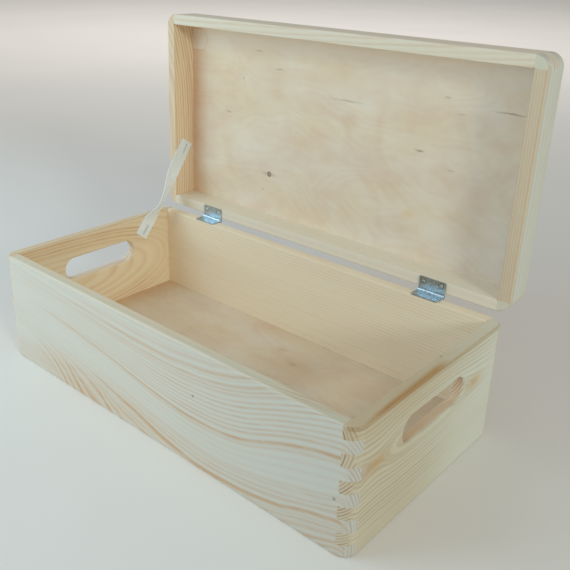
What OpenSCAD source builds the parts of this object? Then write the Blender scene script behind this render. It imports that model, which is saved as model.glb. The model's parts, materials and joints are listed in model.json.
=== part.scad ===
// Pine storage box with finger-jointed corners, hand slots and a hinged tray lid.
// Millimetres. X runs along the box, +Y to its back, +Z up.
// The origin is the centre of the box's footprint, on the surface that it stands on.
// The lid is drawn open, held by its ribbon.

/* [Box] */
// Outside length of the box
box_l = 400; // [300:1:500]
// Outside width, front to back
box_w = 200; // [160:1:300]
// Height of the box without its lid
box_h = 103; // [80:1:160]
// Thickness of the pine boards
board_t = 10; // [9:0.5:14]
// Radius of the upright corners
corner_r = 11; // [6:0.5:16]
// Rounding of the outer edges of the rims, the foot and the lid's top
edge_r = 1.5; // [0.5:0.1:2.5]
// Rounding of the inner edges of the rims
rim_r = 0.8; // [0.3:0.1:1.5]

/* [Finger joints] */
// Fingers up each corner of the box
box_fingers = 10; // [4:2:16]
// Fingers up each corner of the lid
lid_fingers = 3; // [3:2:5]

/* [Base] */
// Thickness of the plywood base
base_t = 4; // [3:0.5:6]
// Height of the base's underside above the foot of the boards
base_rise = 13.5; // [6:0.5:20]
// Depth of the grooves that hold the base
groove_d = 5; // [3:0.5:6]
// Play of a plywood panel in its groove or rebate
panel_fit = 0.15; // [0.05:0.05:0.4]

/* [Hand slots] */
// Length of a hand slot
slot_l = 84; // [60:1:110]
// Height of a hand slot
slot_h = 22; // [16:1:30]
// Middle of a hand slot below the rim
slot_drop = 33; // [25:1:40]
// Rounding of a hand slot's edges
slot_r = 2; // [0.5:0.1:3]

/* [Lid] */
// Depth of the lid's rails
lid_h = 30; // [24:1:45]
// Thickness of the lid's plywood panel
lid_panel_t = 4; // [3:0.5:6]
// Width of the rebate that holds the lid's panel
rebate_w = 5; // [3:0.5:6]
// Opening angle of the lid when the ribbon is taut
lid_open = 91; // [80:1:110]

/* [Hinges] */
// Length of a hinge
hinge_l = 25; // [20:1:40]
// Distance of a hinge's middle from the end of the box
hinge_inset = 68; // [40:1:90]
// Thickness of a hinge leaf
leaf_t = 1; // [0.8:0.1:1.6]
// Gap between the two leaves when the lid is shut
leaf_gap = 0.2; // [0.1:0.05:0.6]
// Radius of a leaf's outer corners
leaf_r = 1.2; // [0.4:0.1:2.5]
// Diameter of a hinge pin
pin_d = 2.4; // [1.8:0.1:3]
// Wall of a knuckle around the pin
knuckle_wall = 1; // [0.8:0.1:1.5]
// Length of the lid leaf's middle knuckle
knuckle_l = 9; // [6:0.5:12]
// Room between neighbouring knuckles, and round a knuckle
knuckle_gap = 0.2; // [0.1:0.05:0.4]
// Radial play of the pin in the lid's knuckle
pin_fit = 0.05; // [0.02:0.01:0.09]
// Height of the pin's domed ends
pin_dome = 0.6; // [0.3:0.1:1]

/* [Screws] */
// Distance between the two screws of a leaf
screw_pitch = 17; // [12:0.5:19]
// Distance of the screws from the inner edge of the rim
screw_in = 3.6; // [3:0.1:5]
// Diameter of a screw's countersunk head
head_d = 4.4; // [3.6:0.1:5]
// Diameter of a screw's shank
shank_d = 2.2; // [1.6:0.1:2.8]
// Length of a screw under its head
screw_l = 10; // [6:0.5:14]
// Clearance round a screw or a staple leg
fastener_fit = 0.05; // [0.02:0.01:0.15]

/* [Ribbon stay] */
// Width of the ribbon
ribbon_w = 16; // [8:0.5:20]
// Thickness of the ribbon
ribbon_t = 0.6; // [0.4:0.1:1]
// Lower end of the ribbon in front of the back face
ribbon_low_back = 48; // [40:1:80]
// Lower end of the ribbon below the box's rim
ribbon_low_drop = 21; // [16:1:32]
// Upper end of the ribbon in front of the lid's back face
ribbon_top_back = 68; // [50:1:100]
// Upper end of the ribbon inside the lid's rim
ribbon_top_rise = 16; // [10:1:18]
// Angle by which the ribbon sags from a straight line at its ends
ribbon_sag = 4; // [0:1:14]
// Largest turn of the ribbon about its own length
ribbon_turn = 35; // [0:1:60]

/* [Staples] */
// Length of a staple's crown, along the ribbon
staple_l = 11; // [6:0.5:12]
// Thickness of a staple's flat wire
staple_t = 0.5; // [0.4:0.1:0.8]
// Breadth of a staple's flat wire
staple_b = 1.2; // [0.8:0.1:1.6]
// Depth of a staple's legs in the wood
staple_leg = 6; // [4:0.5:8]
// Distance of a staple from the end of the ribbon
staple_in = 3; // [2:0.5:5]
// Distance of a staple from the middle of the ribbon's width, towards the hinge
staple_off = 1.5; // [0:0.5:3]

/* [Hidden] */
// Overrun of every cut past the faces that it opens
over = 1;
curve_fn = 48;
small_fn = 24;
// Share of the ribbon's length where its turn is greatest, and the reach of that turn below and above it
turn_at = 0.34;
turn_below = 0.21;
turn_above = 0.4;
ribbon_rings = 24;

rim_gap = 2 * leaf_t + leaf_gap;
knuckle_r = pin_d / 2 + knuckle_wall;
hinge_y = box_w / 2 + knuckle_r + knuckle_gap;
hinge_z = box_h + rim_gap / 2;
hinge_x = box_l / 2 - hinge_inset;
// Radius that the other leaf keeps clear of a knuckle
clear_r = knuckle_r + knuckle_gap;
head_sink = 0.05;
cross_l = 0.6 * head_d;
cross_w = 0.12 * head_d;
cross_d = leaf_t / 2;
screw_y = box_w / 2 - board_t + screw_in;
inner_l = box_l - 2 * board_t;
inner_w = box_w - 2 * board_t;
slot_z = box_h - slot_drop;
wall_x = -box_l / 2 + board_t;

// A point of the shut lid, as [y, z], turned open about the hinge axis
function opened(p) = [
    hinge_y + (p[0] - hinge_y) * cos(lid_open) + (p[1] - hinge_z) * sin(lid_open),
    hinge_z - (p[0] - hinge_y) * sin(lid_open) + (p[1] - hinge_z) * cos(lid_open)
];

// The ribbon's two ends and the middle point that draws its sag, as [y, z]
ribbon_low = [box_w / 2 - ribbon_low_back, box_h - ribbon_low_drop];
ribbon_top = opened([box_w / 2 - ribbon_top_back, box_h + rim_gap + ribbon_top_rise]);
ribbon_run = ribbon_top - ribbon_low;
ribbon_side = [ribbon_run[1], -ribbon_run[0]];
ribbon_mid = (ribbon_low + ribbon_top) / 2 + ribbon_side * tan(ribbon_sag) / 2;
low_angle = atan2(ribbon_mid[1] - ribbon_low[1], ribbon_mid[0] - ribbon_low[0]);
top_angle = atan2(ribbon_mid[1] - ribbon_top[1], ribbon_mid[0] - ribbon_top[0]);

// Turns what is drawn on the shut lid to the lid's open place
module open_lid() {
    translate([0, hinge_y, hinge_z])
        rotate([-lid_open, 0, 0])
            translate([0, -hinge_y, -hinge_z])
                children();
}

// Moves a lid rail, drawn with its rim at the height 0, onto the shut box
module on_box() {
    translate([0, 0, box_h + rim_gap])
        children();
}

// What rounding an outer edge takes away, seen along the edge: the edge is at [r, r]
module round_off(r) {
    difference() {
        square(r + over);
        circle(r, $fn = curve_fn);
    }
}

// Mirrors what is drawn at the corner towards +X and +Y to the corner of the signs given
module at_corner(sx, sy) {
    mirror([sx < 0 ? 1 : 0, 0, 0])
        mirror([0, sy < 0 ? 1 : 0, 0])
            children();
}

// Waste outside the four upright corners of a tray of boards of height h
module corner_waste(h) {
    for (sx = [-1, 1], sy = [-1, 1])
        at_corner(sx, sy)
            translate([box_l / 2 - corner_r, box_w / 2 - corner_r, -over])
                linear_extrude(h + 2 * over)
                    round_off(corner_r);
}

// Waste outside the rounded outer edge that runs round the tray at the height 0, facing up
module outer_edge_waste() {
    straight_l = box_l - 2 * corner_r;
    straight_w = box_w - 2 * corner_r;
    for (turn = [0, 180])
        rotate(turn) {
            translate([-straight_l / 2, -box_w / 2 + edge_r, -edge_r])
                rotate([90, 0, 90])
                    linear_extrude(straight_l)
                        mirror([1, 0])
                            round_off(edge_r);
            translate([box_l / 2 - edge_r, straight_w / 2, -edge_r])
                rotate([90, 0, 0])
                    linear_extrude(straight_w)
                        round_off(edge_r);
        }
    for (sx = [-1, 1], sy = [-1, 1])
        at_corner(sx, sy)
            translate([straight_l / 2, straight_w / 2, -edge_r])
                rotate_extrude(angle = 90, $fn = curve_fn)
                    translate([corner_r - edge_r, 0])
                        round_off(edge_r);
}

// Waste of the rounded inner edge of a rim at the height 0, facing up
module inner_edge_waste() {
    for (turn = [0, 180])
        rotate(turn) {
            translate([-inner_l / 2 - rim_r, inner_w / 2 + rim_r, -rim_r])
                rotate([90, 0, 90])
                    linear_extrude(inner_l + 2 * rim_r)
                        mirror([1, 0])
                            round_off(rim_r);
            translate([-inner_l / 2 - rim_r, inner_w / 2 + rim_r, -rim_r])
                rotate([90, 0, 0])
                    linear_extrude(inner_w + 2 * rim_r)
                        round_off(rim_r);
        }
}

// Waste of all rounded edges of a tray of height h whose rim is at the top, with its foot rounded too
module tray_waste(h) {
    corner_waste(h);
    translate([0, 0, h]) {
        outer_edge_waste();
        inner_edge_waste();
    }
    mirror([0, 0, 1])
        outer_edge_waste();
}

// Sockets of one corner post, in a board that doesn't own the fingers from number first on, every second
module sockets(h, count, first, size) {
    pitch = h / count;
    for (i = [first:2:count - 1])
        translate([-size[0] / 2, -size[1] / 2, i * pitch - (i == 0 ? over : 0)])
            cube([size[0], size[1], pitch + (i == 0 || i == count - 1 ? over : 0)]);
}

// A board along X at the front, with sockets at both ends for the fingers from number first on
module long_board(h, count, first) {
    difference() {
        translate([-box_l / 2, -box_w / 2, 0])
            cube([box_l, board_t, h]);
        for (side = [-1, 1])
            translate([side * (box_l / 2 - board_t / 2 + over / 2), -box_w / 2 + board_t / 2, 0])
                sockets(h, count, first, [board_t + over, board_t + 2 * over]);
    }
}

// A board along Y at the right end, with sockets at both ends for the fingers from number first on
module end_board(h, count, first) {
    difference() {
        translate([box_l / 2 - board_t, -box_w / 2, 0])
            cube([board_t, box_w, h]);
        for (side = [-1, 1])
            translate([box_l / 2 - board_t / 2, side * (box_w / 2 - board_t / 2 + over / 2), 0])
                sockets(h, count, first, [board_t + 2 * over, board_t + over]);
    }
}

// Room for the base in the grooves of the four boards
module base_groove() {
    translate([-inner_l / 2 - groove_d, -inner_w / 2 - groove_d, base_rise])
        cube([inner_l + 2 * groove_d, inner_w + 2 * groove_d, base_t + panel_fit]);
}

// Hand slot through the right end board, with both mouths rounded
module hand_slot() {
    straight = slot_l - slot_h;
    translate([box_l / 2 - board_t / 2, 0, slot_z])
        rotate([90, 0, 90]) {
            translate([0, 0, -board_t / 2 - over])
                linear_extrude(board_t + 2 * over)
                    slot_outline(straight);
            for (face = [0, 1])
                mirror([0, 0, face])
                    translate([0, 0, board_t / 2 - slot_r])
                        slot_mouth(straight);
        }
}

module slot_outline(straight) {
    square([straight, slot_h], center = true);
    for (side = [-1, 1])
        translate([side * straight / 2, 0])
            circle(d = slot_h, $fn = curve_fn);
}

// Flare of a slot's mouth: a quarter round that runs along both straight edges and round both ends
module slot_mouth(straight) {
    for (side = [0, 1])
        mirror([0, side, 0])
            translate([-straight / 2, slot_h / 2 + slot_r, 0])
                rotate([90, 0, 90])
                    linear_extrude(straight)
                        mirror([1, 0])
                            round_off(slot_r);
    for (side = [0, 1])
        mirror([side, 0, 0])
            translate([straight / 2, 0, 0])
                rotate([0, 0, -90])
                    rotate_extrude(angle = 180, $fn = curve_fn)
                        translate([slot_h / 2 + slot_r, 0])
                            mirror([1, 0])
                                round_off(slot_r);
}

// Pilot holes of a leaf's screws, down from the rim at the height 0
module pilots() {
    for (side = [-1, 1])
        translate([side * screw_pitch / 2, screw_y, -screw_l - fastener_fit])
            cylinder(d = shank_d + 2 * fastener_fit, h = screw_l + fastener_fit + over, $fn = small_fn);
}

module both_hinges() {
    for (side = [-1, 1])
        translate([side * hinge_x, 0, 0])
            children();
}

// Long board of the box at the front, cut to its final shape
module box_long_board() {
    difference() {
        long_board(box_h, box_fingers, 1);
        tray_waste(box_h);
        base_groove();
    }
}

// End board of the box at the right, cut to its final shape
module box_end_board() {
    difference() {
        end_board(box_h, box_fingers, 0);
        tray_waste(box_h);
        base_groove();
        hand_slot();
    }
}

module front_panel() {
    color("wheat")
        box_long_board();
}

module back_panel() {
    color("wheat")
        difference() {
            mirror([0, 1, 0])
                box_long_board();
            translate([0, 0, box_h])
                both_hinges()
                    pilots();
        }
}

module left_end_panel() {
    color("burlywood")
        difference() {
            mirror([1, 0, 0])
                box_end_board();
            low_staple(fastener_fit);
        }
}

module right_end_panel() {
    color("burlywood")
        box_end_board();
}

module base_panel() {
    color("tan")
        translate([-inner_l / 2 - groove_d + panel_fit, -inner_w / 2 - groove_d + panel_fit, base_rise])
            cube([inner_l + 2 * (groove_d - panel_fit), inner_w + 2 * (groove_d - panel_fit), base_t]);
}

// Room for the lid's panel in the rebate of the four rails
module panel_rebate() {
    translate([-inner_l / 2 - rebate_w, -inner_w / 2 - rebate_w, lid_h - lid_panel_t])
        cube([inner_l + 2 * rebate_w, inner_w + 2 * rebate_w, lid_panel_t + over]);
}

// Rounded edges of the lid, drawn with its rim at the height 0 and its top at the height lid_h
module lid_waste() {
    translate([0, 0, lid_h])
        mirror([0, 0, 1])
            tray_waste(lid_h);
    panel_rebate();
}

// Long rail of the lid at the front
module lid_long_rail() {
    difference() {
        long_board(lid_h, lid_fingers, 0);
        lid_waste();
    }
}

// End rail of the lid at the right
module lid_end_rail() {
    difference() {
        end_board(lid_h, lid_fingers, 1);
        lid_waste();
    }
}

module lid_front_rail() {
    color("wheat")
        open_lid()
            on_box()
                lid_long_rail();
}

module lid_back_rail() {
    color("wheat")
        open_lid()
            on_box()
                difference() {
                    mirror([0, 1, 0])
                        lid_long_rail();
                    mirror([0, 0, 1])
                        both_hinges()
                            pilots();
                }
}

module lid_left_rail() {
    color("burlywood")
        difference() {
            open_lid()
                on_box()
                    mirror([1, 0, 0])
                        lid_end_rail();
            top_staple(fastener_fit);
        }
}

module lid_right_rail() {
    color("burlywood")
        open_lid()
            on_box()
                lid_end_rail();
}

module lid_panel() {
    side = rebate_w - panel_fit;
    color("tan")
        open_lid()
            on_box()
                translate([-inner_l / 2 - side, -inner_w / 2 - side, lid_h - lid_panel_t])
                    cube([inner_l + 2 * side, inner_w + 2 * side, lid_panel_t]);
}

// Plate of a leaf that lies on a rim at the height 0, from the inner edge of the rim to the y given
module leaf_plate(to_y, width) {
    from_y = box_w / 2 - board_t;
    linear_extrude(leaf_t)
        difference() {
            translate([-width / 2, from_y])
                square([width, to_y - from_y]);
            for (side = [-1, 1])
                translate([side * (width / 2 - leaf_r), from_y + leaf_r])
                    mirror([side < 0 ? 1 : 0, 0])
                        mirror([0, 1])
                            round_off(leaf_r);
        }
}

// Countersunk holes of a leaf that lies on a rim at the height 0
module countersinks() {
    for (side = [-1, 1])
        translate([side * screw_pitch / 2, screw_y, 0])
            screw_body(fastener_fit);
}

// A tube of knuckle round the hinge axis, from one x to another
module knuckle(from_x, to_x, bore_r) {
    translate([from_x, hinge_y, hinge_z])
        rotate([0, 90, 0])
            difference() {
                cylinder(r = knuckle_r, h = to_x - from_x, $fn = curve_fn);
                translate([0, 0, -over])
                    cylinder(r = bore_r, h = to_x - from_x + 2 * over, $fn = curve_fn);
            }
}

// What the pin and the other leaf's knuckle need of a leaf's plate, from one x to another
module axle_room(from_x, to_x, r) {
    translate([from_x, hinge_y, hinge_z])
        rotate([0, 90, 0])
            cylinder(r = r, h = to_x - from_x, $fn = curve_fn);
}

// Box leaf of a hinge, with a knuckle at each end
module box_leaf() {
    half = hinge_l / 2;
    inner = knuckle_l / 2 + knuckle_gap;
    color("lightsteelblue") {
        difference() {
            translate([0, 0, box_h])
                leaf_plate(hinge_y, hinge_l);
            translate([0, 0, box_h])
                countersinks();
            axle_room(-half - over, half + over, knuckle_r - knuckle_wall / 2);
            axle_room(-inner, inner, clear_r);
            translate([-inner, box_w / 2 + knuckle_gap, box_h - over])
                cube([2 * inner, knuckle_r, leaf_t + 2 * over]);
        }
        for (side = [0, 1])
            mirror([side, 0, 0])
                knuckle(inner, half, pin_d / 2);
    }
}

// Lid leaf of a hinge, with one knuckle in the middle
module lid_leaf() {
    half = hinge_l / 2;
    inner = knuckle_l / 2;
    color("lightsteelblue")
        open_lid() {
            difference() {
                translate([0, 0, box_h + rim_gap])
                    mirror([0, 0, 1])
                        leaf_plate(hinge_y, hinge_l);
                translate([0, 0, box_h + rim_gap])
                    mirror([0, 0, 1])
                        countersinks();
                axle_room(-inner, inner, knuckle_r - knuckle_wall / 2);
                for (side = [0, 1])
                    mirror([side, 0, 0]) {
                        axle_room(inner, half + over, clear_r);
                        translate([inner, box_w / 2 + knuckle_gap, hinge_z])
                            cube([half - inner + over, knuckle_r, leaf_t + over]);
                    }
            }
            knuckle(-inner, inner, pin_d / 2 + pin_fit);
        }
}

// Hinge pin with low domed ends
module hinge_pin() {
    half = hinge_l / 2;
    color("silver")
        translate([0, hinge_y, hinge_z])
            rotate([0, 90, 0]) {
                translate([0, 0, -half])
                    cylinder(d = pin_d, h = hinge_l, $fn = curve_fn);
                for (side = [0, 1])
                    mirror([0, 0, side])
                        translate([0, 0, half])
                            pin_end();
            }
}

module pin_end() {
    r = pin_d / 2;
    dome_r = (r * r + pin_dome * pin_dome) / (2 * pin_dome);
    rotate_extrude($fn = curve_fn)
        intersection() {
            square([r, pin_dome]);
            translate([0, pin_dome - dome_r])
                circle(dome_r, $fn = curve_fn);
        }
}

// Countersunk screw in a leaf that lies on a rim at the height 0, grown by a clearance
module screw_body(grow) {
    translate([0, 0, grow > 0 ? 0 : head_sink])
        cylinder(d1 = shank_d + 2 * grow, d2 = head_d + 2 * grow, h = leaf_t - 2 * head_sink, $fn = small_fn);
    translate([0, 0, -screw_l])
        cylinder(d = shank_d + 2 * grow, h = screw_l + leaf_t / 2, $fn = small_fn);
    if (grow > 0)
        translate([0, 0, leaf_t - 2 * head_sink])
            cylinder(d = head_d + 2 * grow, h = over, $fn = small_fn);
}

// The two screws of a leaf that lies on a rim at the height 0, with cross recesses
module screw_pair() {
    color("gainsboro")
        for (side = [-1, 1])
            translate([side * screw_pitch / 2, screw_y, 0])
                difference() {
                    screw_body(0);
                    for (turn = [0, 90])
                        rotate(turn)
                            translate([-cross_l / 2, -cross_w / 2, leaf_t - cross_d])
                                cube([cross_l, cross_w, cross_d + over]);
                }
}

module box_screws() {
    translate([0, 0, box_h])
        screw_pair();
}

module lid_screws() {
    open_lid()
        translate([0, 0, box_h + rim_gap])
            mirror([0, 0, 1])
                screw_pair();
}

// A point of the ribbon's middle line at the share s of its length, as [y, z]
function ribbon_at(s) =
    (1 - s) * (1 - s) * ribbon_low + 2 * s * (1 - s) * ribbon_mid + s * s * ribbon_top;

// The direction across the ribbon at s, towards the hinge
function ribbon_across(s) =
    let (d = (1 - s) * (ribbon_mid - ribbon_low) + s * (ribbon_top - ribbon_mid))
    [d[1], -d[0]] / norm(d);

// The ribbon's turn about its own length at s: none near its ends
function turn_of(s) =
    let (u = (s - turn_at) / (s < turn_at ? turn_below : turn_above))
    abs(u) < 1 ? ribbon_turn * pow(cos(90 * u), 2) : 0;

// The four corners of the ribbon at s, whose edge nearer the hinge stays in the plane of the wall
function ribbon_ring(s) =
    let (
        a = turn_of(s),
        p = ribbon_at(s),
        b = ribbon_across(s),
        x = wall_x + ribbon_w / 2 * sin(a) + ribbon_t / 2 * cos(a)
    )
    [for (c = [[-1, -1], [1, -1], [1, 1], [-1, 1]])
        let (u = c[0] * ribbon_w / 2, v = c[1] * ribbon_t / 2)
        [x - u * sin(a) + v * cos(a), p[0] + b[0] * (u * cos(a) + v * sin(a)),
         p[1] + b[1] * (u * cos(a) + v * sin(a))]
    ];

// Ribbon between the box's left end and the lid's left rail, with holes for the staples
module stay_ribbon() {
    points = [for (i = [0:ribbon_rings]) each ribbon_ring(i / ribbon_rings)];
    // The two broad sides are split along the same diagonal, so the turned ribbon keeps its thickness
    walls = [
        for (i = [0:ribbon_rings - 1], k = [0:3])
            let (a = 4 * i + k, b = 4 * i + (k + 1) % 4)
            each k == 2 ? [[a, a + 4, b + 4], [a, b + 4, b]] : [[a, a + 4, b], [b, a + 4, b + 4]]
    ];
    last = 4 * ribbon_rings;
    ends = [[0, 1, 2], [0, 2, 3], [last, last + 2, last + 1], [last, last + 3, last + 2]];
    color("white")
        difference() {
            polyhedron(points, concat(walls, ends));
            low_staple(fastener_fit);
            top_staple(fastener_fit);
        }
}

// Staple whose crown lies along the ribbon and whose legs go through it into a wall at x = 0.
// The ribbon's end is at the origin and runs along +Y. The legs are grown by a clearance.
module staple(grow) {
    translate([ribbon_t, staple_in, -staple_b / 2])
        cube([staple_t, staple_l, staple_b]);
    for (y = [staple_in, staple_in + staple_l - staple_t])
        translate([-staple_leg - grow, y - grow, -staple_b / 2 - grow])
            cube([staple_leg + ribbon_t + staple_t + grow, staple_t + 2 * grow, staple_b + 2 * grow]);
}

// Puts a staple at an end of the ribbon, moved by the offset along +Z across it
module staple_at(end, angle, offset, grow) {
    translate([wall_x, end[0], end[1]])
        rotate([angle, 0, 0])
            translate([0, 0, offset])
                staple(grow);
}

module low_staple(grow) {
    staple_at(ribbon_low, low_angle, -staple_off, grow);
}

module top_staple(grow) {
    staple_at(ribbon_top, top_angle, staple_off, grow);
}

module stay_box_staple() {
    color("silver")
        low_staple(0);
}

module stay_lid_staple() {
    color("silver")
        top_staple(0);
}

front_panel();
back_panel();
left_end_panel();
right_end_panel();
base_panel();
translate([-hinge_x, 0, 0]) box_leaf();  // hinge_left_box_leaf
translate([hinge_x, 0, 0]) box_leaf();  // hinge_right_box_leaf
translate([-hinge_x, 0, 0]) hinge_pin();  // hinge_left_pin
translate([hinge_x, 0, 0]) hinge_pin();  // hinge_right_pin
translate([-hinge_x, 0, 0]) box_screws();  // hinge_left_box_screws
translate([hinge_x, 0, 0]) box_screws();  // hinge_right_box_screws
lid_front_rail();
lid_back_rail();
lid_left_rail();
lid_right_rail();
lid_panel();
translate([-hinge_x, 0, 0]) lid_leaf();  // hinge_left_lid_leaf
translate([hinge_x, 0, 0]) lid_leaf();  // hinge_right_lid_leaf
translate([-hinge_x, 0, 0]) lid_screws();  // hinge_left_lid_screws
translate([hinge_x, 0, 0]) lid_screws();  // hinge_right_lid_screws
stay_ribbon();
stay_box_staple();
stay_lid_staple();
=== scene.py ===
"""Looks of the pine storage box: its wood, metal and ribbon, the floor, the lights and the camera.

Everything is in metres in the frame's own axes. The materials and the ribbon are worked out in millimetres.
"""

import json
import math
from collections.abc import Callable
from dataclasses import dataclass, field

import bmesh
import bpy
from mathutils import Matrix, Vector


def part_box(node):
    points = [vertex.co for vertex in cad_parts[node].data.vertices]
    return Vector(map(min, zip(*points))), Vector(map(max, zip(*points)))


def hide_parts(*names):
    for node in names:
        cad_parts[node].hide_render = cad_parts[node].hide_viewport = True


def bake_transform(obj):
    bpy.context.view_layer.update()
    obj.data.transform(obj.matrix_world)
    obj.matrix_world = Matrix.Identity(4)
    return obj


MM = 0.001

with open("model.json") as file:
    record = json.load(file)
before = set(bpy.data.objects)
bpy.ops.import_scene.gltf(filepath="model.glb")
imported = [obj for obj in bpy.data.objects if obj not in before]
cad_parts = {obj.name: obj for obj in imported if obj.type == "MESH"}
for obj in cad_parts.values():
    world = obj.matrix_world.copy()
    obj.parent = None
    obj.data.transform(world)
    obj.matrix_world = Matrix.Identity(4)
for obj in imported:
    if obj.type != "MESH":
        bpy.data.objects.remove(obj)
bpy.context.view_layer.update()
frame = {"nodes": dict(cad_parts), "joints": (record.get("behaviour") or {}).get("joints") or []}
nodes = frame["nodes"]
lid_hinge = frame["joints"][0]

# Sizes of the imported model, in millimetres
HINGE_Y = lid_hinge["pos_m"][1] / MM
HINGE_Z = lid_hinge["pos_m"][2] / MM
OPEN = math.radians(-lid_hinge["range_deg"][0])
BOX_LOW = Vector(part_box("front_panel")[0]) / MM
BOX_HIGH = Vector(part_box("back_panel")[1]) / MM
HALF_L = BOX_HIGH.x
HALF_W = BOX_HIGH.y
BOX_H = BOX_HIGH.z
BOARD_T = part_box("front_panel")[1].y / MM - BOX_LOW.y
RIM_Z = 2 * HINGE_Z - BOX_H
BASE_MIDDLE = (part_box("base_panel")[0].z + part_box("base_panel")[1].z) / 2 / MM
LID_PANEL_MIDDLE = RIM_Z + 28


class Field:
    """A number that varies over a surface: a node's socket that takes part in arithmetic."""

    def __init__(self, tree, socket):
        self.tree = tree
        self.socket = socket

    def math(self, operation, *others):
        """The field that a maths node makes of this one and the others."""
        node = self.tree.nodes.new("ShaderNodeMath")
        node.operation = operation
        for slot, value in zip(node.inputs, (self, *others)):
            plug(value, slot)
        return Field(self.tree, node.outputs[0])

    def __add__(self, other):
        return self.math("ADD", other)

    def __sub__(self, other):
        return self.math("SUBTRACT", other)

    def __rsub__(self, other):
        return (self - other) * -1.0

    def __mul__(self, other):
        return self.math("MULTIPLY", other)

    def __truediv__(self, other):
        return self.math("DIVIDE", other)

    __radd__ = __add__

    def hypot(self, other):
        """The length of a vector whose two parts are this field and another."""
        return (self * self + other * other).math("SQRT")

    def size(self):
        """The field without its sign."""
        return self.math("ABSOLUTE")

    def bell(self, centre, width):
        """1 at the centre, falling off smoothly over the width to both sides."""
        share = (self - centre) / width
        return (share * share * -1.0).math("EXPONENT")

    def step(self, low, high):
        """0 below low and 1 above high, with a smooth rise between."""
        return self.ramp(low, high, "SMOOTHSTEP")

    def ramp(self, low, high, form="LINEAR"):
        """0 before low and 1 past high, with a rise of the given form between."""
        node = self.tree.nodes.new("ShaderNodeMapRange")
        node.interpolation_type = form
        plug(self, node.inputs["Value"])
        plug(low, node.inputs["From Min"])
        plug(high, node.inputs["From Max"])
        return Field(self.tree, node.outputs["Result"])


def plug(value, slot):
    """Gives an input its value: a link from a field, or a plain number or colour."""
    if isinstance(value, Field):
        value.tree.links.new(value.socket, slot)
    else:
        slot.default_value = value


def noise(x, y, z=0.0, detail=3.0, roughness=0.5):
    """Smooth noise of three coordinates, about -0.5 to 0.5."""
    tree = x.tree
    joined = tree.nodes.new("ShaderNodeCombineXYZ")
    for slot, value in zip(joined.inputs, (x, y, z)):
        plug(value, slot)
    node = tree.nodes.new("ShaderNodeTexNoise")
    tree.links.new(joined.outputs[0], node.inputs["Vector"])
    node.inputs["Scale"].default_value = 1.0
    node.inputs["Detail"].default_value = detail
    node.inputs["Roughness"].default_value = roughness
    return Field(tree, node.outputs["Fac"]) - 0.5


def lot(number):
    """A number from 0 to 1 drawn by the value of a field, the same for equal values."""
    node = number.tree.nodes.new("ShaderNodeTexWhiteNoise")
    node.noise_dimensions = "1D"
    plug(number, node.inputs["W"])
    return Field(number.tree, node.outputs["Value"])


def mix(share, first, second):
    """A colour between two, by a share from 0 to 1."""
    node = share.tree.nodes.new("ShaderNodeMix")
    node.data_type = "RGBA"
    plug(share, node.inputs[0])
    plug(first, node.inputs[6])
    plug(second, node.inputs[7])
    return Field(share.tree, node.outputs[2])


def tinted(share, base, tint):
    """A colour that keeps only the tint's share of its light, as far as the share from 0 to 1 says."""
    node = share.tree.nodes.new("ShaderNodeMix")
    node.data_type = "RGBA"
    node.blend_type = "MULTIPLY"
    plug(share, node.inputs[0])
    plug(base, node.inputs[6])
    plug((*tint, 1.0), node.inputs[7])
    return Field(share.tree, node.outputs[2])


def colour(red, green, blue):
    """A colour for a socket, from the three 0 to 255 values that a screen shows."""
    return (*(linear(value / 255) for value in (red, green, blue)), 1.0)


def linear(value):
    """A screen's value from 0 to 1, as a share of light."""
    return value / 12.92 if value <= 0.04045 else ((value + 0.055) / 1.055) ** 2.4


def new_tree(name):
    """A new material and its node tree, with nothing in it yet."""
    material = bpy.data.materials.new(name)
    material.use_nodes = True
    material.node_tree.nodes.clear()
    return material, material.node_tree


def split(tree, kind, output):
    """The three parts of a vector that a node gives, as fields."""
    source = tree.nodes.new(kind)
    parts = tree.nodes.new("ShaderNodeSeparateXYZ")
    tree.links.new(source.outputs[output], parts.inputs[0])
    return [Field(tree, part) for part in parts.outputs]


def place(tree, on_lid):
    """Position on a piece in millimetres, on the shut box."""
    x, y, z = (part / MM for part in split(tree, "ShaderNodeTexCoord", "Object"))
    if not on_lid:
        return x, y, z
    y, z = y - HINGE_Y, z - HINGE_Z
    shut_y = y * math.cos(OPEN) - z * math.sin(OPEN)
    shut_z = y * math.sin(OPEN) + z * math.cos(OPEN)
    return x, shut_y + HINGE_Y, shut_z + HINGE_Z


def facing(tree, on_lid):
    """The surface's direction on the shut box."""
    x, y, z = split(tree, "ShaderNodeTexCoord", "Normal")
    if not on_lid:
        return x, y, z
    return x, y * math.cos(OPEN) - z * math.sin(OPEN), y * math.sin(OPEN) + z * math.cos(OPEN)


def finish_surface(material, base, roughness, height=None, bump=0.0, **fixed):
    """Ends a material with its shader, whose fixed inputs are given by name."""
    tree = material.node_tree
    shader = tree.nodes.new("ShaderNodeBsdfPrincipled")
    plug(base, shader.inputs["Base Color"])
    plug(roughness, shader.inputs["Roughness"])
    for name, value in fixed.items():
        shader.inputs[name.replace("_", " ")].default_value = value
    if height is not None:
        relief = tree.nodes.new("ShaderNodeBump")
        relief.inputs["Strength"].default_value = 1.0
        relief.inputs["Distance"].default_value = bump * MM
        plug(height, relief.inputs["Height"])
        tree.links.new(relief.outputs["Normal"], shader.inputs["Normal"])
    output = tree.nodes.new("ShaderNodeOutputMaterial")
    tree.links.new(shader.outputs[0], output.inputs["Surface"])
    return material


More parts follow.
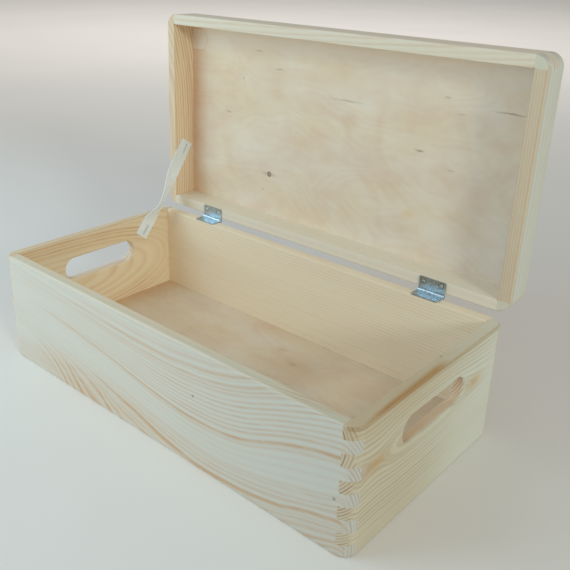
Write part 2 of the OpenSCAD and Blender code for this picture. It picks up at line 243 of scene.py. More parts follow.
# Bare pine: the share of its light that each kind of grain, rim, stain, painted shade or painted highlight
# keeps, or gains above 1
LATEWOOD = (0.82, 0.62, 0.47)
ROSY_LATEWOOD = (0.90, 0.62, 0.42)
GREY_LATEWOOD = (0.70, 0.60, 0.50)
END_GRAIN = (0.58, 0.38, 0.32)
RESIN = (0.78, 0.52, 0.27)
FLAME = (1.0, 0.79, 0.58)
WARM_SLOT_SHADE = (0.99, 0.79, 0.66)
GREY_SLOT_SHADE = (0.85, 0.86, 0.94)
FALLOFF_SHADE = (0.86, 0.89, 0.91)
WARM_NEAR_SHADE = (0.885, 0.795, 0.70)
WARM_RIM = (0.97, 0.80, 0.66)
CORNER_RIM = (0.98, 0.93, 0.85)
YELLOW_RIM = (1.0, 1.0, 0.90)
PALE_RIM = (0.92, 0.91, 0.88)
INNER_RIM = (1.0, 0.93, 0.86)
PALE_STREAK_AND_HIGHLIGHT = (1.14, 1.08, 1.07)
TAN_RIM = (0.91, 0.83, 0.78)
OLIVE_RIM = (0.98, 0.93, 0.87)
TOP_SHADE = (0.94, 0.93, 0.91)
WARM_TOP_SHADE = (0.95, 0.91, 0.86)
BROWN_EDGE_SHADE = (0.81, 0.73, 0.63)
FOOT_SHADE = (0.97, 0.93, 0.90)
KNOT = (0.60, 0.62, 0.66)

# Distance between the rings on end grain
END_SPACING = 2.1

# Range of heights that a growth line may take
LINE_LOW = -60
LINE_SPAN = 220


def smooth_line(along, reach, points):
    """A smooth line through given points: its height at each place from -reach to reach."""
    node = along.tree.nodes.new("ShaderNodeFloatCurve")
    plug((along + reach) / (2 * reach), node.inputs["Value"])
    spots = [((x + reach) / (2 * reach), (height - LINE_LOW) / LINE_SPAN) for x, height in points]
    curve = node.mapping.curves[0]
    curve.points[0].location = spots[0]
    curve.points[-1].location = spots[-1]
    for spot in spots[1:-1]:
        curve.points.new(*spot)
    node.mapping.update()
    return Field(along.tree, node.outputs[0]) * LINE_SPAN + LINE_LOW


def tube_rings(pith_height, pith_depth, spacing, dip=None):
    """Ring numbers round a pith at a height on the board and a depth behind its face.

    The dip, as (along, depth) points, sets the pith deeper along the board.
    """
    def number(along, height, depth, reach):
        pith = depth + pith_depth
        if dip:
            pith = pith + smooth_line(along, reach, dip)
        return (height - pith_height).hypot(pith) / spacing
    return number


def line_rings(lines, spacing, lean):
    """Ring numbers counted down between growth lines, each a number and its (along, height) points.

    The rings lean by that much height for each millimetre of depth.
    """
    def number(along, height, depth, reach):
        height = height - depth * lean
        runs = [smooth_line(along, reach, points) for _, points in lines]
        total = ((runs[0] - height) / spacing).math("MINIMUM", 0.0) + lines[0][0]
        for (first, _), (second, _), upper, lower in zip(lines, lines[1:], runs, runs[1:]):
            total = total + height.ramp(upper, lower) * (second - first)
        return total + ((runs[-1] - height) / spacing).math("MAXIMUM", 0.0)
    return number


@dataclass
class Board:
    """A pine board: which way it lies, its colour and the run of its growth rings.

    Strong rings are (ring number, strength, half width in rings). Near the quiet ones, which are
    (ring number, half width, share), the fine lines fade. The pith of the end grain is a height on
    the board and a depth behind its face. Marks are (function of the place, colour share) pairs.
    """

    node: str
    along: str
    pale: tuple
    rings: Callable
    on_lid: bool = False
    wander: float = 2.0
    strength: float = 0.25
    seed: float = 0.0
    strong: list = field(default_factory=list)
    quiet: list = field(default_factory=list)
    fade: Callable = None
    end_pith: tuple = (-60.0, -30.0)
    end_strength: float = 0.6
    latewood: tuple = LATEWOOD
    marks: list = field(default_factory=list)


# Growth lines of the front board, from its top down
FRONT_LINES = [
    (0, [(-200, 98), (-100, 89.5), (12, 85), (50, 87.5), (87, 94), (130, 110), (200, 140)]),
    (12, [
        (-200, 72), (-125, 66.7), (-50, 56.7), (25, 45), (62, 43.7),
        (95, 47.5), (150, 68), (175, 75.5), (200, 80),
    ]),
    (18, [(-200, 52), (-110, 43), (-25, 25.5), (25, 16.7), (70, 12.5), (112, 16.7), (150, 25.5), (200, 44)]),
    (20, [(-200, 47), (-110, 37), (-25, 20.5), (40, 5), (75, 3.5), (137, 11.7), (162, 21), (200, 31)]),
    (23, [(-200, 43), (-110, 31), (-67, 16.7), (-50, 3), (-20, -15), (75, -20), (150, -3), (200, 15)]),
    (25, [(-200, 41), (-150, 37), (-117, 28), (-102, 15.5), (-92, 4.3), (-70, -14), (75, -30), (200, 6)]),
    (27, [(-200, 39), (-160, 33), (-135, 22), (-116, 5.5), (-98, -14), (-40, -34), (75, -40), (200, 0)]),
]
FRONT_STRONG = [
    (-1.6, 0.35, 0.3), (0, 0.6, 0.34), (1.9, 0.45, 0.32), (3.5, 0.35, 0.3), (10.6, 0.5, 0.28),
    (12, 0.8, 0.3), (17.2, 0.3, 0.22), (18, 0.4, 0.22), (19, 0.35, 0.22), (20, 0.85, 0.34),
    (21.2, 0.45, 0.22), (22, 0.5, 0.26), (23, 0.7, 0.3), (24, 0.65, 0.26), (25, 0.75, 0.32),
    (26, 0.6, 0.24), (27, 0.8, 0.3), (29, 0.4, 0.3),
]
FRONT_QUIET = [(15, 2.3, 0.8)]


def box_rim(x, y, z):
    """The rim of a board of the box."""
    return z.step(BOX_H - 0.7, BOX_H - 0.2)


def front_fade(along, height):
    """How clearly the front's lines show: faintly on much of its left half, most along its foot."""
    left = 1 - along.step(-170, 40)
    plain = left * (height.bell(76, 12) + height.bell(48, 10)) * 0.65
    rim_left = left * height.step(84, 94) * (1 - height.step(101.5, 102.8)) * 0.6
    far_left = (1 - along.step(-185, -105)) * height.bell(70, 8) * 0.45
    foot_left = (1 - along.step(-60, 10)) * height.bell(33, 12) * 0.5
    foot = (1 - along.step(-20, 160)) * (1 - height.step(6, 34)) * 0.3
    corner_left = (1 - along.step(-180, -140)) * (1 - height.step(26, 42)) * 0.75
    return (1 - plain - rim_left - far_left - foot_left - corner_left + foot).math("MAXIMUM", 0.0)


def front_inner_rim(x, y, z):
    """The inner half of the front's rim."""
    return box_rim(x, y, z) * y.step(4 - HALF_W, 10 - HALF_W)


def front_rim_highlight_and_streak(x, y, z):
    """A painted highlight on the rounded outer edge of the front's rim, and a paler growth streak in its
    inner half.
    """
    depth = y + HALF_W
    return box_rim(x, y, z) * (depth.bell(1.0, 1.0) + depth.bell(7.2, 1.2)) * (1 - x.step(20, 180) * 0.5)


def front_foot_shade(x, y, z):
    """Painted warm shade at the foot of the front's left half."""
    return (1 - x.step(-90, 20)) * (1 - z.step(8, 40))


def front_right_shade(x, y, z):
    """Painted shade on the right half of the front, which lies farther from the light."""
    return x.step(-40, 220)


def left_fade(along, height):
    """The left end's arcs fade towards its lower back corner."""
    return 1 - along.step(42, 74) * (1 - height.step(82, 93)) * 0.6


def left_inner_rim(x, y, z):
    """The inner edge of the left end's rim."""
    return box_rim(x, y, z) * x.step(6 - HALF_L, 8.5 - HALF_L)


def left_top_shade(x, y, z):
    """Painted shade on the top of the left end."""
    return z.step(55, 95)


def right_fade(along, height):
    """The right end's lines fade at its lower back corner, foot, slot and rim and the far end of its eye."""
    low_back = along.step(-10, 60) * (1 - height.step(40, 62)) * 0.8
    foot = (1 - height.step(6, 28)) * 0.4
    slot = along.bell(-2, 38) * height.bell(68, 16) * 0.95
    far = along.step(58, 84) * height.bell(66, 20) * 0.9
    rim = height.step(BOX_H - 1.2, BOX_H - 0.3) * 0.9
    return (1 - low_back - foot - slot - far - rim).math("MAXIMUM", 0.0)


def right_near_shade(x, y, z):
    """Painted warm shade on the front half of the right end, which the cool light from behind reaches less.
    """
    return 1 - y.step(-50, 70)


def right_top_shade(x, y, z):
    """Painted shade on the top of the right end."""
    return z.step(82, 92) * (1 - y.step(50, 110))


def resin_run(y):
    """The stretch of the right end that has resin at its rim."""
    return y.step(-94, -62) * (1 - y.step(-4, 20))


def resin_streak(x, y, z):
    """Along the outer edge of the right end's rim, widening to the back."""
    across = (HALF_L - x) / (y.ramp(-90, 10) * 2.4 + 1.6)
    return across.bell(0.4, 0.9) * resin_run(y) * z.step(BOX_H - 4.0, BOX_H - 1.0) * 0.9


def right_edge_shade(x, y, z):
    """Painted brown shade along the upper edge of the right end's outer face, where it rounds over to the
    rim.
    """
    strip = z.step(BOX_H - 4.4, BOX_H - 2.6) * (1 - z.step(BOX_H - 0.5, BOX_H - 0.1))
    return strip * x.step(HALF_L - 9, HALF_L - 5) * (1 - resin_run(y) * 0.6)


def flame(at_y, at_z, half_l, half_h, strength):
    """A soft warm patch on an end board, where its rings run close to the face."""
    def share(x, y, z):
        return y.bell(at_y, half_l) * z.bell(at_z, half_h) * strength
    return share


# Reach of the hand slots from the middle of their board, and heights just below and above them
SLOT_REACH = 46
SLOT_UNDER = 50
SLOT_OVER = 90


def slot_wall_shade(x, y, z):
    """The cut faces of a hand slot, where shade is painted."""
    depth = HALF_L - x.size()
    inside = depth.step(0.8, 2.8) * (1 - depth.step(BOARD_T - 1.6, BOARD_T - 0.2))
    between = 1 - y.size().step(SLOT_REACH, SLOT_REACH + 4)
    return inside * between * z.step(SLOT_UNDER, SLOT_UNDER + 5) * (1 - z.step(SLOT_OVER - 5, SLOT_OVER))


def lid_rim(x, y, z):
    """The rim of a lid rail."""
    return 1 - z.step(RIM_Z + 0.5, RIM_Z + 1.5)


def lid_corner(along):
    """The two ends of a lid's end rail, as long as a board is thick."""
    return along.size().step(HALF_W - BOARD_T - 0.2, HALF_W - BOARD_T + 0.2)


def lid_rim_run(x, y, z):
    """The rim of a lid's end rail, between its paler corners."""
    return lid_rim(x, y, z) * (1 - lid_corner(y))


def lid_rim_corners(x, y, z):
    """The paler corners of a lid's end rail, on its rim."""
    return lid_rim(x, y, z) * lid_corner(y)


def lid_band(x, y, z):
    """The warm strip along the rim on the outer face of the lid's right rail."""
    outer = x.step(HALF_L - 1.2, HALF_L - 0.4)
    return outer * (1 - z.step(RIM_Z + 1, RIM_Z + 9)) * 0.4


def lid_left_fade(along, height):
    """The lines of the lid's left rail are fainter on its rim."""
    return height.step(0.3, 2.0) * 0.45 + 0.55


def lid_right_fade(along, height):
    """The lines of the lid's right rail fade at the corners of its rim."""
    return 1 - (1 - height.step(0.3, 2.0)) * lid_corner(along) * 0.85


def dot(at_x, at_y, at_z, radius):
    """A round mark at a place."""
    def share(x, y, z):
        away = (x - at_x).hypot(y - at_y).hypot(z - at_z)
        return 1 - away.step(radius * 0.4, radius)
    return share


# Depths that a pith gains along its board, as (along, depth) points
EYE_DIP = [
    (-100, 10.5), (-72, 14.4), (-45, 9), (0, 5), (36, 10.5), (52, 13.6), (66, 14.8), (80, 15.6), (100, 16),
]
TONGUE_DIP = [(-100, 0.5), (-40, 2.5), (-5, 5.2), (20, 10.4), (42, 15.6), (60, 20.8), (75, 26), (100, 35)]
LID_FRONT_DIP = [(-200, 0), (-60, 3), (60, 9), (200, 20)]
LID_LEFT_DIP = [(-100, 40), (-60, 18), (-20, 3), (100, 0)]

BOARDS = [
    Board(
        "front_panel", "x", colour(227, 222, 208), line_rings(FRONT_LINES, spacing=4.6, lean=-2.2),
        wander=1.6, strength=0.55, seed=1.0, strong=FRONT_STRONG, quiet=FRONT_QUIET, fade=front_fade,
        end_pith=(5, -140), end_strength=0.45, latewood=ROSY_LATEWOOD,
        marks=[
            (front_right_shade, FALLOFF_SHADE),
            (box_rim, YELLOW_RIM),
            (front_inner_rim, INNER_RIM),
            (front_rim_highlight_and_streak, PALE_STREAK_AND_HIGHLIGHT),
            (front_foot_shade, FOOT_SHADE),
            (dot(55, -HALF_W, 63, radius=1.8), KNOT),
            (dot(187, -HALF_W, 45, radius=1.9), KNOT),
        ],
    ),
    Board(
        "back_panel", "x", colour(249, 232, 203), tube_rings(-150, 20, spacing=2.9),
        wander=5.0, strength=0.3, seed=2.0,
    ),
    Board(
        "left_end_panel", "y", colour(252, 232, 199), tube_rings(56, 0, spacing=5.2, dip=TONGUE_DIP),
        wander=4.5, strength=0.42, seed=3.0, fade=left_fade,
        strong=[(7.0, 0.5, 0.17), (7.6, 0.7, 0.2), (8.25, 0.6, 0.18), (8.8, 0.7, 0.2)],
        marks=[
            (slot_wall_shade, GREY_SLOT_SHADE),
            (left_top_shade, TOP_SHADE),
            (box_rim, PALE_RIM),
            (left_inner_rim, TAN_RIM),
        ],
    ),
    Board(
        "right_end_panel", "y", colour(228, 226, 208), tube_rings(66, 0, spacing=3.4, dip=EYE_DIP),
        wander=1.2, strength=0.66, seed=4.0, strong=[(4.18, 0.45, 0.24), (3.84, 0.3, 0.24)], fade=right_fade,
        end_pith=(85, 40), end_strength=1.0, latewood=GREY_LATEWOOD,
        marks=[
            (right_near_shade, WARM_NEAR_SHADE),
            (right_top_shade, WARM_TOP_SHADE),
            (right_edge_shade, BROWN_EDGE_SHADE),
            (flame(-74, 65, half_l=13, half_h=5.5, strength=0.9), FLAME),
            (flame(58, 67, half_l=12, half_h=5.5, strength=0.9), FLAME),
            (slot_wall_shade, WARM_SLOT_SHADE),
            (box_rim, OLIVE_RIM),
            (resin_streak, RESIN),
            (dot(HALF_L - 8.4, 15.5, BOX_H, radius=1.3), KNOT),
        ],
    ),
    Board(
        "lid_front_rail", "x", colour(236, 224, 201), tube_rings(-60, 30, spacing=2.7, dip=LID_FRONT_DIP),
        on_lid=True, strength=0.45, seed=5.0,
    ),
    Board(
        "lid_back_rail", "x", colour(238, 227, 205), tube_rings(-90, 60, spacing=3.4),
        on_lid=True, strength=0.3, seed=6.0,
    ),
    Board(
        "lid_left_rail", "y", colour(245, 219, 186), tube_rings(-120, 30, spacing=3.3, dip=LID_LEFT_DIP),
        on_lid=True, strength=1.0, seed=7.0, strong=[(44.5, 0.7, 0.16), (45.3, 0.8, 0.16)],
        fade=lid_left_fade, latewood=GREY_LATEWOOD, marks=[(lid_rim, PALE_RIM)],
    ),
    Board(
        "lid_right_rail", "y", colour(222, 221, 207), tube_rings(-5, 40, spacing=2.2),
        on_lid=True, strength=0.6, seed=8.0, fade=lid_right_fade,
        marks=[(lid_rim_run, WARM_RIM), (lid_rim_corners, CORNER_RIM), (lid_band, FLAME)],
    ),
]


def ring_lines(number, seed):
    """Latewood lines of numbered rings: a slow darkening and a sharper end, each ring of its own strength."""
    share = number.math("FRACT")
    strength = lot(number.math("FLOOR") + seed) * 0.7 + 0.3
    return share.step(0.3, 0.75) * (1 - share.step(0.8, 1.0)) * strength


def ring_darkness(board, along, height, depth, reach):
    """How dark the board's growth rings are at a place."""
    waves = noise(along / 130, height / 40 + board.seed, depth / 40, detail=2.0) * board.wander
    ripple = noise(along / 32, height / 14 + board.seed, depth / 14, detail=2.0) * board.wander * 0.35
    number = board.rings(along, height + waves + ripple, depth, reach)
    late = ring_lines(number, board.seed) * board.strength
    for at, half, share in board.quiet:
        late = late * (1 - number.bell(at, half) * share)
    for at, strength, half in board.strong:
        late = late.math("MAXIMUM", number.bell(at, half) * strength)
    late = late * (noise(along / 34, height / 5, board.seed) * 1.6 + 1.0)
    return late * board.fade(along, height) if board.fade else late


def pine(board):
    """Pine with growth rings that run through the board, darker on its end grain."""
    material, tree = new_tree("pine_" + board.node)
    x, y, z = place(tree, board.on_lid)
    side_x, side_y, _ = facing(tree, board.on_lid)
    height = z - RIM_Z if board.on_lid else z
    if board.along == "x":
        along, depth, end, reach = x, HALF_W - y.size(), side_x, HALF_L
    else:
        along, depth, end, reach = y, HALF_L - x.size(), side_y, HALF_W

    cut = end.size().step(0.35, 0.8)
    fibre = noise(along / 26, height / 0.8, depth / 0.8, detail=4.0, roughness=0.6)
    cloud = noise(along / 90, height / 22, depth / 22 + board.seed, detail=2.0)
    late = ring_darkness(board, along, height, depth, reach) * (1 - cut * 0.85)
    late = late + cloud * 0.16 + fibre * 0.16 + 0.04
    base = tinted(late.ramp(0.0, 1.0), board.pale, board.latewood)

    end_height, end_depth = board.end_pith
    end_number = (height - end_height).hypot(depth - end_depth) / END_SPACING
    end_late = ring_lines(end_number, board.seed) * board.end_strength + 0.08
    base = tinted(cut * end_late, base, END_GRAIN)
    for share, tint in board.marks:
        base = tinted(share(x, y, z), base, tint)

    roughness = 0.62 - late * 0.12 + fibre * 0.1
    relief = late * 0.5 + fibre * (1 - cut)
    return finish_surface(material, base, roughness, height=relief, bump=0.1, Specular_IOR_Level=0.3)


@dataclass
class Veneer:
    """A birch plywood panel with a cloudy face.

    Its middle is the height between its two faces on the shut box, and its marks are on the inner
    face only. Its dashes are (x, y, half length, half width, strength), its spots are (x, y, radius,
    colour share, strength), its veins are (x, points as y and distance from that x), and its knot
    and its patch are (x, y, radius).
    """

    node: str
    on_lid: bool
    middle: float
    seed: float
    pale: tuple
    dashes: list
    spots: list
    veins: list = field(default_factory=list)
    knot: tuple = None
    patch: tuple = None


# Birch: the share of its light that each cloud, mark, painted shade or painted shadow keeps, and the colour
# of the painted light along the lid's front rail
PLY_ROSE = (0.92, 0.82, 0.76)
PLY_YELLOW = (0.99, 0.92, 0.76)
PLY_BROWN = (0.78, 0.62, 0.48)
PLY_WARM_SHADE = (0.95, 0.81, 0.69)
PLY_COOL_SHADOW = (0.92, 0.95, 1.0)
PLY_TAN_SHADE = (1.0, 0.91, 0.86)
PLY_MARK = (0.26, 0.21, 0.18)
PLY_PAINTED_LIGHT = colour(255, 238, 215)

# What the seed of a panel's outer face has more than its inner face's
OUTER_SEED = 20

LID_DASHES = [
    (12, -39, 13, 0.5, 0.5), (168, -51, 11, 0.6, 0.65), (91, -8, 3.5, 0.8, 0.75), (-69, -57, 4, 0.7, 0.45),
    (-96, -72, 4, 0.6, 0.45), (-136, -7, 4, 0.8, 0.45), (112, -56, 2.5, 0.7, 0.45), (126, -44, 3, 0.6, 0.35),
    (122, 3, 3, 0.6, 0.35), (-116, -43, 1.2, 0.7, 0.4), (-86, 65, 1.3, 0.8, 0.45),
]
LID_VEINS = [
    (50, [(-65, 0), (-45, 4), (-22, -1), (-5, 1), (10, 10), (24, 26)]),
    (45, [(21, -18), (30, -3), (40, 7), (60, 11), (73, 18)]),
    (120, [(-64, -28), (-50, -3), (-35, 10), (-15, 16), (0, 21)]),
    (20, [(42, -15), (62, -3), (78, 12), (88, 21)]),
    (-130, [(18, -6), (30, -4), (50, -1), (62, 10)]),
    (10, [(-28, -15), (-20, 0), (-10, 7), (5, 12), (13, 30)]),
]
LID_SPOTS = [
    (17, -22, 15, PLY_ROSE, 0.7),
    (87, 50, 9, PLY_YELLOW, 0.8),
    (-120, -45, 70, PLY_YELLOW, 0.4),
    (-165, -55, 26, PLY_ROSE, 0.5),
]
BASE_DASHES = [
    (6, 59, 4, 0.9, 0.2), (31, 45, 3.5, 1.2, 0.25), (-90, 30, 4, 0.7, 0.15), (-40, -30, 4, 0.8, 0.3),
]
BASE_SPOTS = [
    (31, 46, 9, PLY_ROSE, 0.6),
    (6, 60, 8, PLY_ROSE, 0.5),
    # Painted warm shade on the floor by the right end
    (165, 65, 75, PLY_TAN_SHADE, 1.0),
]
VENEERS = [
    Veneer(
        "lid_panel", on_lid=True, middle=LID_PANEL_MIDDLE, seed=11.0, pale=colour(240, 226, 206),
        dashes=LID_DASHES, spots=LID_SPOTS, veins=LID_VEINS, knot=(-78, 48, 3.5), patch=(-179, -75, 10.5),
    ),
    Veneer(
        "base_panel", on_lid=False, middle=BASE_MIDDLE, seed=12.0, pale=colour(232, 217, 195),
        dashes=BASE_DASHES, spots=BASE_SPOTS,
    ),
]


def veined(base, veins, x, y, inner):
    """The colour with soft veins, each darkest along its line and fading slowly to its left."""
    for at_x, points in veins:
        away = x - at_x - smooth_line(y, HALF_W, points)
        start, stop = points[0][0], points[-1][0]
        ends = y.step(start - 4, start + 8) * (1 - y.step(stop - 8, stop + 4))
        soft = away.step(-16, -1) * (1 - away.step(-1, 5))
        base = tinted(soft * ends * inner * 0.28, base, PLY_ROSE)
    return base


def patched(base, veneer, x, y, inner):
    """The colour with a glued-in patch, round on its right side, and its brown outline."""
    at_x, at_y, radius = veneer.patch
    away = (x - at_x).math("MAXIMUM", 0.0).hypot(y - at_y)
    base = mix((1 - away.step(radius - 0.6, radius)) * inner * 0.75, base, veneer.pale)
    return tinted(away.bell(radius, 0.5) * inner * 0.4, base, PLY_BROWN)


def dark_marks(veneer, x, y):
    """How dark the veneer's dashes and its knot are at a place."""
    bent = y + noise(x / 8, y / 8) * 2
    marks = [
        x.bell(at_x, half_l) * bent.bell(at_y, half_w) * strength
        for at_x, at_y, half_l, half_w, strength in veneer.dashes
    ]
    if veneer.knot:
        at_x, at_y, radius = veneer.knot
        away = (x - at_x).hypot(y - at_y)
        ring = (1 - away.step(radius * 0.6, radius)) * 0.85 - away.bell(0, radius * 0.3) * 0.35
        flare = x.bell(at_x, 8) * y.bell(at_y, 1.6) * 0.35
        marks += [ring, flare]
    dark = marks[0]
    for mark in marks[1:]:
        dark = dark.math("MAXIMUM", mark)
    return dark


def plywood(veneer):
    """Birch plywood: rotary-cut veneer with clouds, the figure of its peeled rings and a few marks."""
    material, tree = new_tree("plywood_" + veneer.node)
    x, y, z = place(tree, veneer.on_lid)
    outer = z.step(veneer.middle - 0.4, veneer.middle + 0.4)
    if not veneer.on_lid:
        outer = 1 - outer
    inner = 1 - outer
    seed = outer * OUTER_SEED + veneer.seed
    relief = noise(x / 170, y / 75, seed + 3, detail=2.0, roughness=0.45)
    contours = ((relief * 22).math("FRACT") - 0.5).size().step(0.05, 0.5)
    rosy = noise(x / 62, y / 40, seed, detail=4.0, roughness=0.6)
    yellow = noise(x / 80, y / 50, seed + 7, detail=3.0, roughness=0.55)
    fibre = noise(x / 20, y / 0.7, seed, detail=3.0, roughness=0.6)
    # Painted light: a paler band along the lid's front rail, with fewer clouds, over the shadow that the rail
    # casts on the panel
    clear = (1 - y.step(15 - HALF_W, 32 - HALF_W)) * inner if veneer.on_lid else 0.0

    base = tinted((rosy * 2.9 + 0.33).ramp(0.0, 1.0) * (1 - clear * 0.3), veneer.pale, PLY_ROSE)
    base = tinted((yellow * 1.9 + 0.33).ramp(0.0, 1.0) * (1 - clear), base, PLY_YELLOW)
    base = tinted((contours * 0.2 + fibre * 0.6).ramp(0.0, 1.0), base, PLY_ROSE)
    if veneer.on_lid:
        base = mix(clear * 0.5, base, PLY_PAINTED_LIGHT)
    base = veined(base, veneer.veins, x + rosy * 14, y, inner)
    # Painted warm shade along the panel's left side, by the left wall
    base = tinted(1 - x.ramp(12 - HALF_L, 34 - HALF_L), base, PLY_WARM_SHADE)
    # Painted shadow of the right wall over the panel's right side
    base = tinted(x.step(HALF_L - 100, HALF_L - 30), base, PLY_COOL_SHADOW)
    for at_x, at_y, radius, tint, strength in veneer.spots:
        away = (x - at_x).hypot((y - at_y) * 1.3)
        base = tinted((1 - (away + rosy * 12).step(0, radius)) * inner * strength, base, tint)
    if veneer.patch:
        base = patched(base, veneer, x, y, inner)
    base = tinted(dark_marks(veneer, x, y) * inner, base, PLY_MARK)

    roughness = 0.6 + fibre * 0.1
    return finish_surface(material, base, roughness, height=fibre, bump=0.05, Specular_IOR_Level=0.3)


ZINC_BRIGHT = colour(214, 226, 232)
ZINC_LEAF = colour(146, 163, 167)
ZINC_SCREW = colour(196, 214, 218)
STEEL_PIN = colour(180, 188, 194)
STAPLE_WIRE = colour(222, 228, 234)
# Painted shadow round the screw heads
SCREW_RING_SHADOW = (0.1, 0.15, 0.17)


def head_spots(screws):
    """Middles of a leaf's two screw heads, as (along the hinge, across the leaf), and their radius."""
    low, high = (Vector(corner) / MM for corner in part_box(screws))
    middle = (low + high) / 2
    across = middle.y if "box" in screws else middle.z
    radius = (high.y - low.y) / 2 if "box" in screws else (high.z - low.z) / 2
    return [(low.x + radius, across), (high.x - radius, across)], radius


def zinc(name, tint, dull, screws=None):
    """Bright metal with a cloudy spangle and fine rub marks, with a painted shadow ring round the heads of
    its screws.
    """
    material, tree = new_tree(name)
    x, y, z = place(tree, False)
    spangle = noise(x / 1.6, y / 1.6, z / 1.6, detail=2.0)
    rub = noise(x / 6, y / 0.25, z / 0.25, detail=3.0, roughness=0.7)
    base = mix((spangle + rub * 0.5 + 0.5).step(0.0, 1.0), tint, ZINC_BRIGHT)
    if screws:
        spots, radius = head_spots(screws)
        across = y if "box" in screws else z
        # Painted shadow in the gap round each screw head
        for at_x, at_across in spots:
            away = (x - at_x).hypot(across - at_across)
            base = tinted(away.bell(radius, 0.55) * 0.9, base, SCREW_RING_SHADOW)
    roughness = spangle * 0.16 + rub * 0.12 + dull
    return finish_surface(material, base, roughness, height=rub, bump=0.02, Metallic=1.0)


COTTON_WHITE = colour(252, 255, 255)
COTTON_SHADE = colour(236, 247, 253)
COTTON_GREYER = (0.89, 0.88, 0.86)
COTTON_SHEEN = (0.7, 0.88, 1.0, 1.0)


def cotton():
    """Cotton tape with a soft nap, a little greyer towards the lid."""
    material, tree = new_tree("cotton_tape")
    x, y, z = place(tree, False)
    nap = noise(x / 0.5, y / 0.5, z / 0.5, detail=3.0, roughness=0.7)
    wear = noise(x / 9, y / 9, z / 9, detail=2.0)
    base = mix((nap * 0.8 + wear * 0.6 + 0.3).step(0.0, 1.0), COTTON_WHITE, COTTON_SHADE)
    # Greyer towards the lid
    base = tinted(z.step(BOX_H + 32, BOX_H + 58), base, COTTON_GREYER)
    return finish_surface(
        material, base, nap * 0.1 + 0.85, height=nap, bump=0.08,
        Sheen_Weight=0.3, Sheen_Roughness=0.5, Sheen_Tint=COTTON_SHEEN,
    )


def paint(names, material):
    """Gives CAD nodes a material."""
    for name in names:
        slots = nodes[name].data.materials
        slots.clear()
        slots.append(material)


def dress_nodes():
    """Gives every CAD node but the ribbon its material."""
    for board in BOARDS:
        paint([board.node], pine(board))
    for veneer in VENEERS:
        paint([veneer.node], plywood(veneer))
    for hinge in [f"hinge_{side}_{part}" for side in ("left", "right") for part in ("box", "lid")]:
        paint([hinge + "_leaf"], zinc(hinge + "_plate", ZINC_LEAF, dull=0.37, screws=hinge + "_screws"))
        paint([hinge + "_screws"], zinc(hinge + "_heads", ZINC_SCREW, dull=0.26))
    paint(["hinge_left_pin", "hinge_right_pin"], zinc("steel_pin", STEEL_PIN, dull=0.28))
    paint(["stay_box_staple", "stay_lid_staple"], zinc("staple_wire", STAPLE_WIRE, dull=0.55))


# The ribbon in millimetres, with its ends as distances from the back and the rim of the box and of the lid
RIBBON_W = 16
RIBBON_T = 0.6
RIBBON_LOW = (48, 21)
RIBBON_TOP = (68, 16)
RIBBON_SAG = math.radians(4)
RIBBON_TURN = math.radians(35)
WALL_X = -HALF_L + BOARD_T

# Shares of its route: where it is turned most, how far the turn reaches, and what a staple holds flat
TURN_AT = 0.34
TURN_BELOW = 0.21
TURN_ABOVE = 0.4
STAPLED = 0.12

# Its weave: the distance and depth of the cross ribs, and the share of its half width inside its thick edges
RIB_PITCH = 0.9
RIB_DEPTH = 0.18
SELVEDGE = 0.9
RIB_STEPS = 4
RIBBON_COLUMNS = 14


def opened(y, z):
    """A point of the shut lid, turned open about the hinge."""
    y, z = y - HINGE_Y, z - HINGE_Z
    return Vector((HINGE_Y + y * math.cos(OPEN) + z * math.sin(OPEN),
                   HINGE_Z - y * math.sin(OPEN) + z * math.cos(OPEN)))


def ribbon_route():
    """The ribbon's lower end, the point that draws its sag, and its upper end, as (y, z)."""
    low = Vector((HALF_W - RIBBON_LOW[0], BOX_H - RIBBON_LOW[1]))
    top = opened(HALF_W - RIBBON_TOP[0], RIM_Z + RIBBON_TOP[1])
    run = top - low
    middle = (low + top) / 2 + Vector((run.y, -run.x)) * math.tan(RIBBON_SAG) / 2
    return low, middle, top


def route_point(route, s):
    """The place, as (y, z), at the share s of the route."""
    low, middle, top = route
    return low * (1 - s) ** 2 + middle * 2 * s * (1 - s) + top * s * s


def route_length(route, steps=200):
    """The route's length, measured in short steps."""
    points = [route_point(route, i / steps) for i in range(steps + 1)]
    return sum((b - a).length for a, b in zip(points, points[1:]))


def ribbon_point(route, s, across, out):
    """A point of the ribbon at the share s of its route, so far across it and out from its middle."""
    low, middle, top = route
    ahead = ((middle - low) * (1 - s) + (top - middle) * s).normalized()
    over = Vector((ahead.y, -ahead.x))
    reach = (s - TURN_AT) / (TURN_BELOW if s < TURN_AT else TURN_ABOVE)
    turn = RIBBON_TURN * math.cos(math.pi / 2 * reach) ** 2 if abs(reach) < 1 else 0
    x = WALL_X + RIBBON_W / 2 * math.sin(turn) + RIBBON_T / 2 * math.cos(turn)
    x += out * math.cos(turn) - across * math.sin(turn)
    at = route_point(route, s) + over * (across * math.cos(turn) + out * math.sin(turn))
    return Vector((x, at.x, at.y)) * MM


def rib(s, length):
    """Share of the ribbon's half thickness at s: its cross ribs."""
    return 1 - RIB_DEPTH + RIB_DEPTH * math.cos(2 * math.pi * s * length / RIB_PITCH)


def ribbon_side(mesh, route, length, rows, side):
    """Rows of points on one face of the strip, under (-1) or upper (1)."""
    grid = []
    for i in range(rows + 1):
        s = i / rows
        row = []
        for j in range(RIBBON_COLUMNS + 1):
            share = 2 * j / RIBBON_COLUMNS - 1
            half = RIBBON_T / 2 * (1 if abs(share) > SELVEDGE else rib(s, length))
            row.append(mesh.verts.new(ribbon_point(route, s, share * RIBBON_W / 2, side * half)))
        grid.append(row)
    return grid


